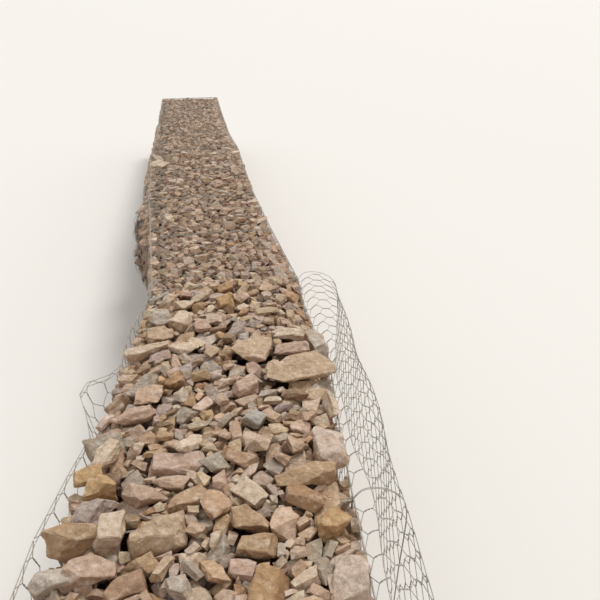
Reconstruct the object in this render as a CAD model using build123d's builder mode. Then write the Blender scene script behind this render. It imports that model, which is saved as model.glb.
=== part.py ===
"""Gabion wall: six woven-wire baskets of broken stone, laced end to end along a river bank.

The two baskets at the near end are filled but still open, with their lids thrown back over the
river side. The other four are closed. X points to the river, Y runs along the wall away from the
near end, Z is up, and the origin is on the ground in the middle of the wall's run.
"""

from build123d import *

import os
from math import atan2, cos, degrees, hypot, radians, sin

# The run of the wall, and how far each joint from the near end on strays to the river side
bay_count = 6
open_bays = 2
bay_length = 2000
joint_strays = [-200, -35, 140, 35, 10, 0, 0]

# One basket, over its edge wires, with a diaphragm that parts it into two cells
basket_width = 1000
basket_height = 1000
edge_wire = 4

# The stone in each cell. Its crown is steep at the sides and shallow over the middle.
stone_clearance = 0.3
side_bulge = 26
shoulder = 55
closed_crown = 28
heaped_crown = 62
steep_run_share = 0.3
steep_rise_share = 0.7
bulge_left_at_end = 0.2
crown_left_at_end = 0.55

# The woven mesh: twisted pairs run across a lid, single wires slant between them
mesh_wire = 3
mesh_opening = 120
twist_length = 62
slant_rise = 46

# An open lid: up from its hinge, over a rounded crest, and down to its free edge.
# The crest's bends are equal, each in the straight run of a row of twists, before or after its
# middle: the first and last bends stand alone, and the two between them share a row.
lid_rows = 9
crest_bends = [(0, -1), (1, -1), (1, 1), (2, 1)]
lid_rise_angle = 56
lid_hang_angle = -89
bend_from_middle = 20
bend_overlap = 1
lid_end_gap = 8

half_width = basket_width / 2
inner_half = half_width - edge_wire - stone_clearance
row_pitch = twist_length + slant_rise
lid_reach = lid_rows * row_pitch + slant_rise
lid_length = bay_length - 2 * lid_end_gap
first_station = -bay_count / 2 * bay_length

os.makedirs("parts", exist_ok=True)


def line_x(y):
    """How far the wall's centreline strays to the river side, straight from joint to joint."""
    along = (y - first_station) / bay_length
    joint = min(int(along), bay_count - 1)
    share = along - joint
    return joint_strays[joint] * (1 - share) + joint_strays[joint + 1] * share


def finish(piece, label):
    """Names a finished piece and writes it."""
    piece.part.label = label
    export_step(piece.part, f"parts/{label}.step")


def wire_frame(label, outers, windows):
    """The edge wires of flat panels: thin boxes along the wall's line, with a window for each cell.

    Every box is its spans along X from the centreline, along Y and along Z.
    """
    boxes = [(spans, Mode.ADD) for spans in outers]
    boxes += [(spans, Mode.SUBTRACT) for spans in windows]
    with BuildPart() as frame:
        for ((x_low, x_high), (y_low, y_high), (z_low, z_high)), mode in boxes:
            with BuildSketch(Plane.XY.offset(z_low)):
                with BuildLine():
                    Polyline(
                        (line_x(y_low) + x_low, y_low),
                        (line_x(y_low) + x_high, y_low),
                        (line_x(y_high) + x_high, y_high),
                        (line_x(y_high) + x_low, y_high),
                        close=True,
                    )
                make_face()
            extrude(amount=z_high - z_low, mode=mode)
    finish(frame, label)


def upright_panel(label, x_low, cells):
    """A side panel's edge wires, with the wire that laces the diaphragm to it."""
    y_span = (cells[0][0] - edge_wire, cells[-1][1] + edge_wire)
    outer = ((x_low, x_low + edge_wire), y_span, (edge_wire, basket_height))
    through = (x_low - edge_wire, x_low + 2 * edge_wire)
    rise = (2 * edge_wire, basket_height - edge_wire)
    wire_frame(label, [outer], [(through, cell, rise) for cell in cells])


def level_panel(label, z_low, cells):
    """A base's or a closed lid's edge wires, with the wire over the diaphragm."""
    y_span = (cells[0][0] - edge_wire, cells[-1][1] + edge_wire)
    outer = ((-half_width, half_width), y_span, (z_low, z_low + edge_wire))
    between = (edge_wire - half_width, half_width - edge_wire)
    through = (z_low - edge_wire, z_low + 2 * edge_wire)
    wire_frame(label, [outer], [(between, cell, through) for cell in cells])


def cross_panels(label, y_lows):
    """The edge wires of the end panels or the diaphragm, between the side panels."""
    outer_half = half_width - edge_wire
    window_half = outer_half - edge_wire
    outers = [
        ((-outer_half, outer_half), (y, y + edge_wire), (edge_wire, basket_height))
        for y in y_lows
    ]
    windows = [
        (
            (-window_half, window_half),
            (y - edge_wire, y + 2 * edge_wire),
            (2 * edge_wire, basket_height - edge_wire),
        )
        for y in y_lows
    ]
    wire_frame(label, outers, windows)


def stone_section(crown):
    """Half the stone's outline across the wall: foot, belly, broken shoulder, crown."""
    belly = inner_half + side_bulge
    belly_foot = 2 * edge_wire
    belly_top = basket_height - shoulder
    belly_slope = (belly_top - belly_foot) / 3
    top_half = inner_half - shoulder
    return [
        (0, 0),
        (inner_half, 0),
        (inner_half, belly_foot),
        (belly, belly_foot + belly_slope),
        (belly, belly_top - belly_slope),
        (inner_half, belly_top),
        (top_half, basket_height),
        (top_half * (1 - steep_run_share), basket_height + crown * steep_rise_share),
        (0, basket_height + crown),
    ]


def stone_fill(label, crown, cells):
    """The packed stone of a basket: one mass in each cell, slack towards the cell's two ends."""
    # Each cell's ends and middle, with the shares of the bulge and the crown that are left there
    stations = []
    for cell_low, cell_high in cells:
        low = cell_low + stone_clearance
        high = cell_high - stone_clearance
        at_ends = (bulge_left_at_end, crown_left_at_end)
        stations.append([(low, *at_ends), ((low + high) / 2, 1, 1), (high, *at_ends)])

    with BuildPart() as stone:
        # Across the wall, along its line
        for (low, *_), _, (high, *_) in stations:
            lean = line_x(high) - line_x(low)
            with BuildSketch(Plane((line_x(low), low, 0), (1, 0, 0), (0, -1, 0))):
                with BuildLine():
                    Polyline(*stone_section(crown))
                    mirror(about=Plane.YZ)
                make_face()
            extrude(amount=hypot(high - low, lean), dir=(lean, high - low, 0))

        # From above: widest at each cell's middle
        with BuildSketch(Plane.XY):
            for cell in stations:
                halves = [(y, inner_half + side_bulge * bulge) for y, bulge, _ in cell]
                with BuildLine():
                    Polyline(
                        *[(line_x(y) + half, y) for y, half in halves],
                        *[(line_x(y) - half, y) for y, half in reversed(halves)],
                        close=True,
                    )
                make_face()
        extrude(amount=basket_height + 2 * crown, mode=Mode.INTERSECT)

        # From the side: highest at each cell's middle
        with BuildSketch(Plane.YZ):
            for cell in stations:
                with BuildLine():
                    Polyline(
                        (cell[0][0], 0),
                        *[(y, basket_height + crown * left) for y, _, left in cell],
                        (cell[-1][0], 0),
                        close=True,
                    )
                make_face()
        extrude(amount=basket_width, both=True, mode=Mode.INTERSECT)
    finish(stone, label)


def twist_middle(row):
    """How far along the mesh from the hinge a row of twists has its middle."""
    return slant_rise + twist_length / 2 + row * row_pitch


def lid_stretches():
    """The flat stretches of an open lid, hinge first, and the point where its free edge is.

    Each stretch is its start and end along the mesh, its first point and its tilt in degrees.
    """
    bends = [twist_middle(row) + side * bend_from_middle for row, side in crest_bends]
    turn = (lid_rise_angle - lid_hang_angle) / len(bends)
    stretches = []
    start, x, z, tilt = 0, 0, 0, lid_rise_angle
    for end in [*bends, lid_reach]:
        stretches.append((start, end, (x, z), tilt))
        x += (end - start) * cos(radians(tilt))
        z += (end - start) * sin(radians(tilt))
        start = end
        tilt -= turn
    return stretches, (x, z)


def lid_sheet_outline(offset):
    """The bent line of an open lid, moved sideways by offset and mitred at each bend."""
    stretches, free_edge = lid_stretches()
    tilts = [tilt for *_, tilt in stretches]
    before = [tilts[0], *tilts]
    after = [*tilts, tilts[-1]]
    corners = [point for _, _, point, _ in stretches] + [free_edge]
    line = []
    for (x, z), tilt_in, tilt_out in zip(corners, before, after):
        square = radians((tilt_in + tilt_out) / 2 + 90)
        mitre = offset / cos(radians((tilt_in - tilt_out) / 2))
        line.append((x + mitre * cos(square), z + mitre * sin(square)))
    return line


with BuildPart() as open_lid:
    # The whole sheet, bent along its mesh
    with BuildSketch(Plane.XZ.offset(-lid_length / 2)):
        with BuildLine():
            Polyline(
                *lid_sheet_outline(mesh_wire / 2),
                *reversed(lid_sheet_outline(-mesh_wire / 2)),
                close=True,
            )
        make_face()
    extrude(amount=lid_length)

    # The openings: six-sided, each row half an opening along from the last
    half_opening = mesh_opening / 2 - mesh_wire
    corner_fill = (
        mesh_wire / 2 * (hypot(half_opening, slant_rise) - slant_rise) / half_opening
    )
    twist_end = twist_length / 2 - corner_fill
    tip = twist_end + slant_rise
    half_columns = int(lid_length / mesh_opening / 2) + 1
    for start, end, (x, z), tilt in lid_stretches()[0]:
        low = start - bend_overlap if start else edge_wire / 2
        high = lid_reach - edge_wire if end == lid_reach else end + bend_overlap
        centres = [
            ((column + row % 2 / 2) * mesh_opening, twist_middle(row) - start)
            for row in range(-1, lid_rows + 1)
            for column in range(-half_columns, half_columns + 1)
            if low - tip < twist_middle(row) < high + tip
        ]
        square = (sin(radians(tilt)), 0, -cos(radians(tilt)))
        with BuildSketch(Plane((x, 0, z), (0, 1, 0), square)):
            with Locations(*centres):
                Polygon(
                    (half_opening, -twist_end),
                    (half_opening, twist_end),
                    (0, tip),
                    (-half_opening, twist_end),
                    (-half_opening, -twist_end),
                    (0, -tip),
                    align=None,
                )
            with Locations((0, (low + high) / 2 - start)):
                Rectangle(lid_length - 2 * edge_wire, high - low, mode=Mode.INTERSECT)
        extrude(amount=2 * mesh_wire, both=True, mode=Mode.SUBTRACT)

    # The wire that it hinges on
    Box(edge_wire, lid_length, edge_wire)

for bay in range(1, bay_count + 1):
    near_y = first_station + (bay - 1) * bay_length
    middle_y = near_y + bay_length / 2
    far_y = near_y + bay_length
    cells = [
        (near_y + edge_wire, middle_y - edge_wire / 2),
        (middle_y + edge_wire / 2, far_y - edge_wire),
    ]
    is_open = bay <= open_bays

    stone_fill(f"stone_fill_{bay}", heaped_crown if is_open else closed_crown, cells)
    level_panel(f"base_panel_{bay}", 0, cells)
    upright_panel(f"river_panel_{bay}", half_width - edge_wire, cells)
    upright_panel(f"bank_panel_{bay}", -half_width, cells)
    cross_panels(f"end_panels_{bay}", [near_y, far_y - edge_wire])
    cross_panels(f"diaphragm_{bay}", [middle_y - edge_wire / 2])

    if is_open:
        # Turned with its basket, and lying on the river panel's top wire
        hinge_x = line_x(middle_y) + half_width - edge_wire / 2
        swing = degrees(atan2(line_x(near_y) - line_x(far_y), bay_length))
        with BuildPart() as lid:
            with Locations(
                Location((hinge_x, middle_y, basket_height + edge_wire / 2), (0, 0, swing))
            ):
                add(open_lid.part, clean=False)
        finish(lid, f"open_lid_{bay}")
    else:
        level_panel(f"closed_lid_{bay}", basket_height, cells)
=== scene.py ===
from math import atan, cos, pi, radians, sin

import bmesh
import bpy
import numpy as np
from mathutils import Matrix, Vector, noise


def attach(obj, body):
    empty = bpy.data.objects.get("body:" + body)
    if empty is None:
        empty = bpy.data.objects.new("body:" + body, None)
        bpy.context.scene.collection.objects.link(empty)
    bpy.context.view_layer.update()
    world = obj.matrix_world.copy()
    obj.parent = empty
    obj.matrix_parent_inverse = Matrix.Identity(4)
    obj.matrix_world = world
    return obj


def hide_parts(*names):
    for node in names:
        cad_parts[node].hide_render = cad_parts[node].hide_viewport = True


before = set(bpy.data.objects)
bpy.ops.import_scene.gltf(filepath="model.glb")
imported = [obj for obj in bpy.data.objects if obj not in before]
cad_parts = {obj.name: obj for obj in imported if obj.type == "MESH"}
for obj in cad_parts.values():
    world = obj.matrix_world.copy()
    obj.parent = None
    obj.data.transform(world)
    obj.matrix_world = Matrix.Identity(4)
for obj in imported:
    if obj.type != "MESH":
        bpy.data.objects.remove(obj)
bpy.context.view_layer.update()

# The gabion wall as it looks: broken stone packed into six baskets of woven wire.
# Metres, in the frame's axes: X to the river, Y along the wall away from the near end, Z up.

# The wall
BAYS = 6
OPEN_BAYS = 2
CELLS_IN_BAY = 2
SAME_PLACE = 0.001

# The camera, from the photograph's horizon, vanishing point and the wall's edges
IMAGE_SIDE = 600
FOCAL_PIXELS = 580
CAMERA_ABOVE_RIM = 1.79
CAMERA_PAST_END = 0.4
CAMERA_PITCH = 28.1
CAMERA_YAW = 10.3
CAMERA_SIGHT = 1500

# Wires
MESH_WIRE = 0.0034
EDGE_WIRE = 0.0038
LACING_WIRE = 0.0024
STRAND = MESH_WIRE / 2
HALF_EDGE = EDGE_WIRE / 2
EDGE_SIDES = 6

# Nearly straight wires: how long their steps are, and how far they wander
LINE_STEP = 0.06
LINE_WANDER = 0.0012

# The woven mesh
MESH_OPENING = 0.1
TWIST_LENGTH = 0.05
SLANT_RISE = 0.033
ROW_PITCH = TWIST_LENGTH + SLANT_RISE
HALF_TURNS = 3
WEAVE_WOBBLE = 0.003
WOBBLE_SCALE = 0.35
WOBBLE_HELD = 0.004
TWIST_MARGIN = 0.01

# How finely mesh is drawn: the steps in a twist, the steps in a slant and the sides of a wire
FINE = (8, 2, 5)
MIDDLE = (4, 2, 3)
COARSE = (3, 1, 3)

# How far a panel's wires stay from its ends, its foot and its rim
PANEL_END_GAP = 0.003
MESH_FOOT = 0.004
MESH_RIM_GAP = 0.002
SIDE_FOOT = HALF_EDGE + 0.003
CROSS_FOOT = 0.006
SECOND_RIM_WIRE = 0.02

# Spiral lacing along the edges
LACING_PITCH = 0.085
LACING_RADIUS = 0.0065

# The open lids' bent line, hinge first: distance along the mesh, and tilt in degrees
LID_LINE = (
    (0, 60), (0.045, 48), (0.09, 4), (0.19, -20), (0.27, -44), (0.36, -78), (0.45, -89), (0.6, -91),
    (1.1, -91),
)
LID_REACH = 1.018
LID_GRID = (80, 200)
LID_SEED = 1.7

# How the stone stands out of the baskets
HEAP_RISE = 0.06
CLOSED_RISE = 0.02
SIDE_BULGE = 0.022
BULGE_LEFT_AT_END = 0.2
BELLY_RUN = 0.3
RIM_OVER = 0.02
SEAM_OVER = 0.03
END_INSET = 0.01

# Below the rim, where a side's stone draws in so that the top's stone has room
SHOULDER = 0.06
SIDE_SHOULDER_IN = 0.02
END_SHOULDER_IN = 0.05

# How far the baskets swell, as (distance along the wall, at the rim, at the belly)
BANK_SWELL = (
    (-6, 0, 0.01), (-5.4, 0.015, 0.01), (-4.7, 0.1, 0.02), (-4, 0.11, 0.02), (-3.4, 0.075, 0.02),
    (-2.8, 0.035, 0.02), (-2.1, 0, 0.03), (-1.5, 0, 0.05), (-0.95, 0, 0.05), (-0.6, 0, 0.18),
    (-0.3, 0, 0.09), (0.05, 0.01, 0.2), (0.5, 0.01, 0.06), (1.1, 0.02, 0.14), (1.6, 0.05, 0.06),
    (2.1, 0.02, 0.05), (2.6, 0.01, 0.1), (3.1, 0, 0.05), (3.5, 0, 0.1), (4, 0, 0.04),
    (6, 0, 0.03),
)
RIVER_SWELL = (
    (-6, 0.02, 0.01), (-4.5, 0.035, 0.02), (-3.7, 0.045, 0.02), (-3.4, 0.06, 0.02), (-3, 0.08, 0.02),
    (-2.7, 0.035, 0.02), (-2.3, 0, 0.01), (-0.9, 0, 0.02), (-0.2, 0.01, 0.02), (1.4, 0.03, 0.03),
    (1.9, 0.045, 0.03), (2.3, 0.025, 0.02), (2.8, 0, 0.02), (6, 0, 0.01),
)

# The open baskets' loose rim on the bank side, as (distance along the wall, further out, further up)
BANK_RIM = (
    (-6, 0, 0), (-5.2, 0.02, 0.02), (-4.5, 0.045, 0.02), (-4, 0.03, 0.03), (-3.7, 0.015, 0.03),
    (-3.45, 0, 0.02), (-3.32, 0.04, 0.06), (-3.22, 0.08, 0.09), (-3.12, 0.08, 0.085),
    (-3.02, 0.02, 0.05), (-2.9, 0, 0.02), (-2.6, 0.035, 0.02), (-2.3, 0.02, 0.01), (-2, 0, 0),
)

# How far out from the centreline the swelling goes on growing, as a share of the half width
SWELL_REACH = 1.2

# The packing grid, and how often a sheet over it is smoothed
CELL = 0.01
COVER_PASSES = 60


def corners_of(node):
    """A CAD node's vertices as an array."""
    return np.array([v.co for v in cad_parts[node].data.vertices])


def read_joints():
    """Where the wall's centreline is at each joint between baskets, as (x, y)."""
    joints = []
    for bay in range(1, BAYS + 1):
        points = corners_of(f"base_panel_{bay}")
        for y in (points[:, 1].min(), points[:, 1].max()):
            if not joints or abs(joints[-1][1] - y) > SAME_PLACE:
                across = points[np.abs(points[:, 1] - y) < SAME_PLACE, 0]
                joints.append(((across.min() + across.max()) / 2, y))
    return np.array(joints)


JOINTS = read_joints()
RIM_Z = float(corners_of("river_panel_1")[:, 2].max())
HALF_WIDTH = float(np.ptp(corners_of(f"closed_lid_{BAYS}")[:, 0])) / 2
CELL_LENGTH = float(JOINTS[1, 1] - JOINTS[0, 1]) / CELLS_IN_BAY
NEAR_Y = float(JOINTS[0, 1])
OPEN_END_Y = float(JOINTS[OPEN_BAYS, 1])
FAR_Y = float(JOINTS[-1, 1])


def ends_of(bay):
    """Where a bay begins and ends along the wall."""
    return JOINTS[bay - 1, 1], JOINTS[bay, 1]


def bay_at(y):
    """The bay at a distance along the wall, or past its ends the nearest one."""
    return 1 + np.searchsorted(JOINTS[1:-1, 1], y, side="right")


def line_x(y):
    """The centreline's X at a distance along the wall."""
    return np.interp(y, JOINTS[:, 1], JOINTS[:, 0])


def smooth_step(t):
    """0 below 0, 1 above 1, and a smooth rise between."""
    t = np.clip(t, 0, 1)
    return t * t * (3 - 2 * t)


def cell_share(y):
    """0 at the ends of a cell and 1 in its middle."""
    along = (y - NEAR_Y) / CELL_LENGTH % 1
    return np.sin(np.pi * along)


def ripple(u, v, seed, scale):
    """A smooth wander between about -1 and 1 over a surface."""
    turn = np.sin(u * 6.1 / scale + seed) + np.sin(v * 7.3 / scale + 2.1 * seed + 1.7 * np.sin(u * 2.3))
    return 0.5 * turn + 0.25 * np.sin((u + v) * 13.7 / scale + 3.3 * seed)


def swell(table, y, z):
    """How far a side swells past its flat basket, at the rim and at the belly."""
    along, at_rim, at_belly = np.array(table).T
    up = np.clip(z / RIM_Z, 0, 1)
    return np.interp(y, along, at_rim) * up ** 2 + np.interp(y, along, at_belly) * np.sin(pi * up ** 1.5)


def between(grid, i, j):
    """A grid's value between its points, at a fraction of a row and of a column."""
    i = np.clip(i, 0, grid.shape[0] - 1.001)
    j = np.clip(j, 0, grid.shape[1] - 1.001)
    i0, j0 = i.astype(int), j.astype(int)
    s, t = i - i0, j - j0
    near = grid[i0, j0] * (1 - s) + grid[i0 + 1, j0] * s
    far = grid[i0, j0 + 1] * (1 - s) + grid[i0 + 1, j0 + 1] * s
    return near * (1 - t) + far * t


class Side:
    """One face of the wall. A point is (a, b, c): a and b lie in the face, and c points out."""

    def __init__(self, a_axis, b_axis, c_axis, origin):
        self.axes = np.array([a_axis, b_axis, c_axis], float)
        self.origin = np.array(origin, float)

    def place(self, points):
        """Points of the face on the wall, where it swells and strays from a straight line."""
        world = self.origin + np.asarray(points, float) @ self.axes
        x, y, z = world[..., 0], world[..., 1], world[..., 2]
        side = np.clip(np.abs(x) / HALF_WIDTH, 0, SWELL_REACH) ** 2
        world[..., 0] += np.where(x > 0, swell(RIVER_SWELL, y, z), -swell(BANK_SWELL, y, z)) * side
        world[..., 0] += line_x(y)
        return world


WALL = Side((1, 0, 0), (0, 1, 0), (0, 0, 1), (0, 0, 0))
TOP = Side((1, 0, 0), (0, 1, 0), (0, 0, 1), (0, 0, RIM_Z))
RIVER = Side((0, 1, 0), (0, 0, 1), (1, 0, 0), (HALF_WIDTH, 0, 0))
BANK = Side((0, -1, 0), (0, 0, 1), (-1, 0, 0), (-HALF_WIDTH, 0, 0))
NEAR_END = Side((1, 0, 0), (0, 0, 1), (0, -1, 0), (0, NEAR_Y, 0))
FAR_END = Side((-1, 0, 0), (0, 0, 1), (0, 1, 0), (0, FAR_Y, 0))


def put(name, data):
    """A new object of the scene."""
    thing = bpy.data.objects.new(name, data)
    bpy.context.scene.collection.objects.link(thing)
    return thing


def make_mesh(name, points, triangles, tint=None, smooth=False):
    """A mesh object from arrays, with a colour for each point where tint is given."""
    mesh = bpy.data.meshes.new(name)
    mesh.vertices.add(len(points))
    mesh.vertices.foreach_set("co", np.asarray(points, np.float32).ravel())
    mesh.loops.add(3 * len(triangles))
    mesh.loops.foreach_set("vertex_index", np.asarray(triangles, np.int32).ravel())
    mesh.polygons.add(len(triangles))
    mesh.polygons.foreach_set("loop_start", np.arange(0, 3 * len(triangles), 3, dtype=np.int32))
    mesh.polygons.foreach_set("use_smooth", np.full(len(triangles), smooth))
    mesh.update(calc_edges=True)
    if tint is not None:
        layer = mesh.attributes.new("tint", "FLOAT_COLOR", "POINT")
        rgba = np.concatenate([tint, np.ones((len(tint), 1))], axis=1)
        layer.data.foreach_set("color", rgba.astype(np.float32).ravel())
    return put(name, mesh)


# Materials

class Nodes:
    """A short way to write the nodes of a material or a world."""

    def __init__(self, owner):
        owner.use_nodes = True
        self.owner = owner
        self.tree = owner.node_tree
        self.tree.nodes.clear()

    def add(self, kind, inputs=(), **settings):
        """A shader node, with its settings and inputs, which are values or other nodes' outputs."""
        node = self.tree.nodes.new(f"ShaderNode{kind}")
        for key, value in settings.items():
            setattr(node, key, value)
        for key, value in dict(inputs).items():
            if isinstance(value, bpy.types.NodeSocket):
                self.tree.links.new(value, node.inputs[key])
            else:
                node.inputs[key].default_value = value
        return node

    def noise(self, coords, scale, detail=4.0, rough=0.6):
        """Noise between 0 and 1."""
        return self.add(
            "TexNoise", {"Vector": coords, "Scale": scale, "Detail": detail, "Roughness": rough}
        ).outputs["Fac"]

    def ramp(self, value, low, high, to_low=0.0, to_high=1.0):
        """A value's share of the way from low to high, held between to_low and to_high."""
        return self.add(
            "MapRange", {0: value, 1: low, 2: high, 3: to_low, 4: to_high}, clamp=True
        ).outputs[0]

    def mix(self, share, first, second, blend="MIX"):
        """Two colours mixed."""
        return self.add(
            "Mix", {0: share, 6: first, 7: second}, data_type="RGBA", blend_type=blend
        ).outputs[2]

    def finish(self, **inputs):
        """The material, with a plain surface that has these inputs. Their underscores are spaces."""
        inputs = {key.replace("_", " "): value for key, value in inputs.items()}
        self.add("OutputMaterial", {0: self.add("BsdfPrincipled", inputs).outputs[0]})
        return self.owner


def stone_material():
    """Broken stone: each stone its own colour, mottled, speckled and dusty, with painted shade on faces
    not turned up.
    """
    worn = (0.74, 0.66, 0.58, 1)
    # painted shade: the brown that faces turned sideways or down are darkened towards
    painted_side_shade = (0.70, 0.56, 0.45, 1)
    stain = (0.48, 0.31, 0.18, 1)
    dust = (0.85, 0.76, 0.67, 1)
    dark = (0.30, 0.22, 0.15, 1)
    grit = (0.16, 0.12, 0.09, 1)
    n = Nodes(bpy.data.materials.new("stone"))
    place = n.add("TexCoord")
    coords = place.outputs["Object"]
    tint = n.add("Attribute", attribute_name="tint").outputs["Color"]
    broad = n.noise(coords, 9.0, 3.0)
    mottle = n.noise(coords, 34.0, 6.0, 0.68)
    blotch = n.noise(coords, 62.0, 4.0, 0.6)
    grain = n.noise(coords, 150.0, 4.0, 0.7)
    facing = n.add("SeparateXYZ", {0: place.outputs["Normal"]}).outputs["Z"]
    colour = n.mix(n.ramp(mottle, 0.36, 0.62, 0.8, 0), tint, worn, "MULTIPLY")
    # painted shade: faces turned sideways or down are darkened towards brown
    colour = n.mix(n.ramp(facing, -0.1, 0.75, 0.7, 0), colour, painted_side_shade, "MULTIPLY")
    colour = n.mix(n.ramp(broad, 0.54, 0.68, 0, 0.45), colour, stain)
    colour = n.mix(n.ramp(mottle, 0.55, 0.72, 0, 0.5), colour, dust)
    colour = n.mix(n.ramp(blotch, 0.56, 0.66, 0, 0.3), colour, dark)
    colour = n.mix(n.ramp(grain, 0.54, 0.7, 0, 0.42), colour, grit)
    chips = n.add("TexVoronoi", {"Vector": coords, "Scale": 34.0}, feature="F1").outputs["Distance"]
    height = n.add("Math", {0: mottle, 1: n.ramp(chips, 0, 0.7, 0, 0.7)}, operation="ADD").outputs[0]
    height = n.add("Math", {0: grain, 1: 0.4, 2: height}, operation="MULTIPLY_ADD").outputs[0]
    bump = n.add("Bump", {"Height": height, "Strength": 1.0, "Distance": 0.011}).outputs[0]
    rough = n.ramp(mottle, 0.3, 0.7, 0.8, 0.95)
    return n.finish(Base_Color=colour, Roughness=rough, Normal=bump, Specular_IOR_Level=0.25)


def wire_material():
    """Galvanised wire: dull zinc, greyed unevenly, with dust and a little rust."""
    dark_zinc = (0.32, 0.32, 0.30, 1)
    pale_zinc = (0.48, 0.47, 0.44, 1)
    dust = (0.38, 0.34, 0.28, 1)
    rust = (0.26, 0.17, 0.10, 1)
    n = Nodes(bpy.data.materials.new("wire"))
    coords = n.add("TexCoord").outputs["Object"]
    broad = n.noise(coords, 6.0, 3.0)
    fine = n.noise(coords, 160.0, 4.0)
    spots = n.noise(coords, 45.0, 3.0)
    colour = n.mix(n.ramp(fine, 0.35, 0.65), dark_zinc, pale_zinc)
    colour = n.mix(n.ramp(broad, 0.42, 0.62, 0.0, 0.6), colour, dust)
    colour = n.mix(n.ramp(spots, 0.62, 0.72, 0, 0.55), colour, rust)
    rough = n.ramp(fine, 0.3, 0.7, 0.38, 0.6)
    bump = n.add("Bump", {"Height": fine, "Strength": 0.25, "Distance": 0.0006}).outputs[0]
    return n.finish(Base_Color=colour, Roughness=rough, Normal=bump, Metallic=0.35)


STONE_MATERIAL = stone_material()
WIRE_MATERIAL = wire_material()

# Stones

rng = np.random.default_rng(11)

# How a stone is cut from a block about two units across: how far the block's corners are off, how far
# from the middle the cuts lie, and how close together corners are merged
BLOCK_SKEW = 0.3
CUT_DISTANCE = (0.62, 1.25)
MERGE_WITHIN = 0.09

# A stone's length, width and height against each other, where none are given
STRETCH = ((1.0, 1.9), (0.8, 1.1), (0.4, 0.9))

# The angle in radians at which two faces still count as one, the profile of worn edges, and how many
# times rough faces are divided
FLAT_ANGLE = 0.14
WORN_PROFILE = 0.6
DIVISIONS = 2

# A stone's roughness, as the waves in its size and how strong they are
ROUGHNESS = ((2.2, 1.0), (6, 0.7))

# Faces more upright than this are no part of a stone's upper or lower surface, and where a stone is
# thinner than this it counts as nothing
UPRIGHT = 0.02
THINNEST = 0.004


def convex(points):
    """A new mesh around points, with no hollows."""
    bm = bmesh.new()
    for point in points:
        bm.verts.new(point)
    hull = bmesh.ops.convex_hull(bm, input=bm.verts)
    loose = {g for g in hull["geom_interior"] if isinstance(g, bmesh.types.BMVert)}
    bmesh.ops.delete(bm, geom=list(loose), context="VERTS")
    bmesh.ops.recalc_face_normals(bm, faces=bm.faces)
    return bm


def cut_block(cuts):
    """The corners of a block that is cut by planes that lie anyhow."""
    signs = [(x, y, z) for x in (-1, 1) for y in (-1, 1) for z in (-1, 1)]
    bm = convex(np.array(signs) + rng.uniform(-BLOCK_SKEW, BLOCK_SKEW, (8, 3)))
    for _ in range(cuts):
        direction = Vector(rng.normal(0, 1, 3)).normalized()
        done = bmesh.ops.bisect_plane(
            bm,
            geom=[*bm.verts, *bm.edges, *bm.faces],
            plane_co=direction * rng.uniform(*CUT_DISTANCE),
            plane_no=direction,
            clear_outer=True,
        )
        edges = [g for g in done["geom_cut"] if isinstance(g, bmesh.types.BMEdge)]
        if edges:
            bmesh.ops.contextual_create(bm, geom=edges)
    bmesh.ops.remove_doubles(bm, verts=bm.verts, dist=MERGE_WITHIN)
    corners = np.array([v.co for v in bm.verts])
    bm.free()
    return corners


class Stone:
    """A shape of broken stone: its mesh and the planes of its faces.

    With no extent given, it is about a unit across. bevel is how far its edges are worn, rough is how
    far its faces stray, and fine is the longest edge that they keep, each as a share of its size.
    """

    def __init__(self, cuts, bevel, rough, fine, extent=None):
        corners = cut_block(cuts)
        size = np.ptp(corners, axis=0)
        if extent is None:
            stretch = np.array([rng.uniform(*span) for span in STRETCH])
            scale = stretch / float(np.prod(size * stretch)) ** (1 / 3)
            unit = 1.0
        else:
            scale = np.array(extent) / size
            unit = float(np.prod(extent)) ** (1 / 3)
        bm = convex((corners - (corners.max(0) + corners.min(0)) / 2) * scale)
        bmesh.ops.dissolve_limit(bm, angle_limit=FLAT_ANGLE, verts=bm.verts, edges=bm.edges)
        bm.normal_update()
        self.normals = np.array([f.normal for f in bm.faces])
        self.offsets = np.array([f.normal.dot(f.verts[0].co) for f in bm.faces])
        if bevel:
            bmesh.ops.bevel(
                bm, geom=bm.edges[:], offset=bevel * unit, segments=1, profile=WORN_PROFILE,
                affect="EDGES", clamp_overlap=True,
            )
        bmesh.ops.triangulate(bm, faces=bm.faces[:])
        for _ in range(DIVISIONS if fine else 0):
            long_edges = [e for e in bm.edges if e.calc_length() > fine * unit]
            bmesh.ops.subdivide_edges(bm, edges=long_edges, cuts=1)
            bmesh.ops.triangulate(bm, faces=bm.faces[:])
        seed = Vector(rng.uniform(-50, 50, 3))
        bm.normal_update()
        for vertex in bm.verts:
            spot = vertex.co / unit
            shift = sum(share * noise.noise(spot * waves + seed) for waves, share in ROUGHNESS)
            vertex.co += vertex.normal * shift * rough * unit
        bm.verts.index_update()
        self.points = np.array([v.co for v in bm.verts])
        self.triangles = np.array([[v.index for v in f.verts] for f in bm.faces])
        bm.free()

    def heights(self, turned, size):
        """The stone's lower and upper surface over a grid around its middle, when turned."""
        normals = self.normals @ turned.T
        offsets = self.offsets * size
        points = self.points @ turned.T * size
        low = np.floor(points[:, :2].min(0) / CELL).astype(int)
        high = np.ceil(points[:, :2].max(0) / CELL).astype(int)
        xs = np.arange(low[0], high[0] + 1) * CELL
        ys = np.arange(low[1], high[1] + 1) * CELL
        flat = normals[:, 0, None, None] * xs[None, :, None]
        flat = flat + normals[:, 1, None, None] * ys[None, None, :]
        rise = normals[:, 2]
        slope = np.where(np.abs(rise) < UPRIGHT, 1, rise)
        surface = (offsets[:, None, None] - flat) / slope[:, None, None]
        upper = surface[rise > UPRIGHT].min(0)
        lower = surface[rise < -UPRIGHT].max(0)
        return low, lower, upper, upper > lower + THINNEST


def spin(angle):
    """A turn about the vertical."""
    return np.array([[cos(angle), -sin(angle), 0], [sin(angle), cos(angle), 0], [0, 0, 1]])


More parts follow.
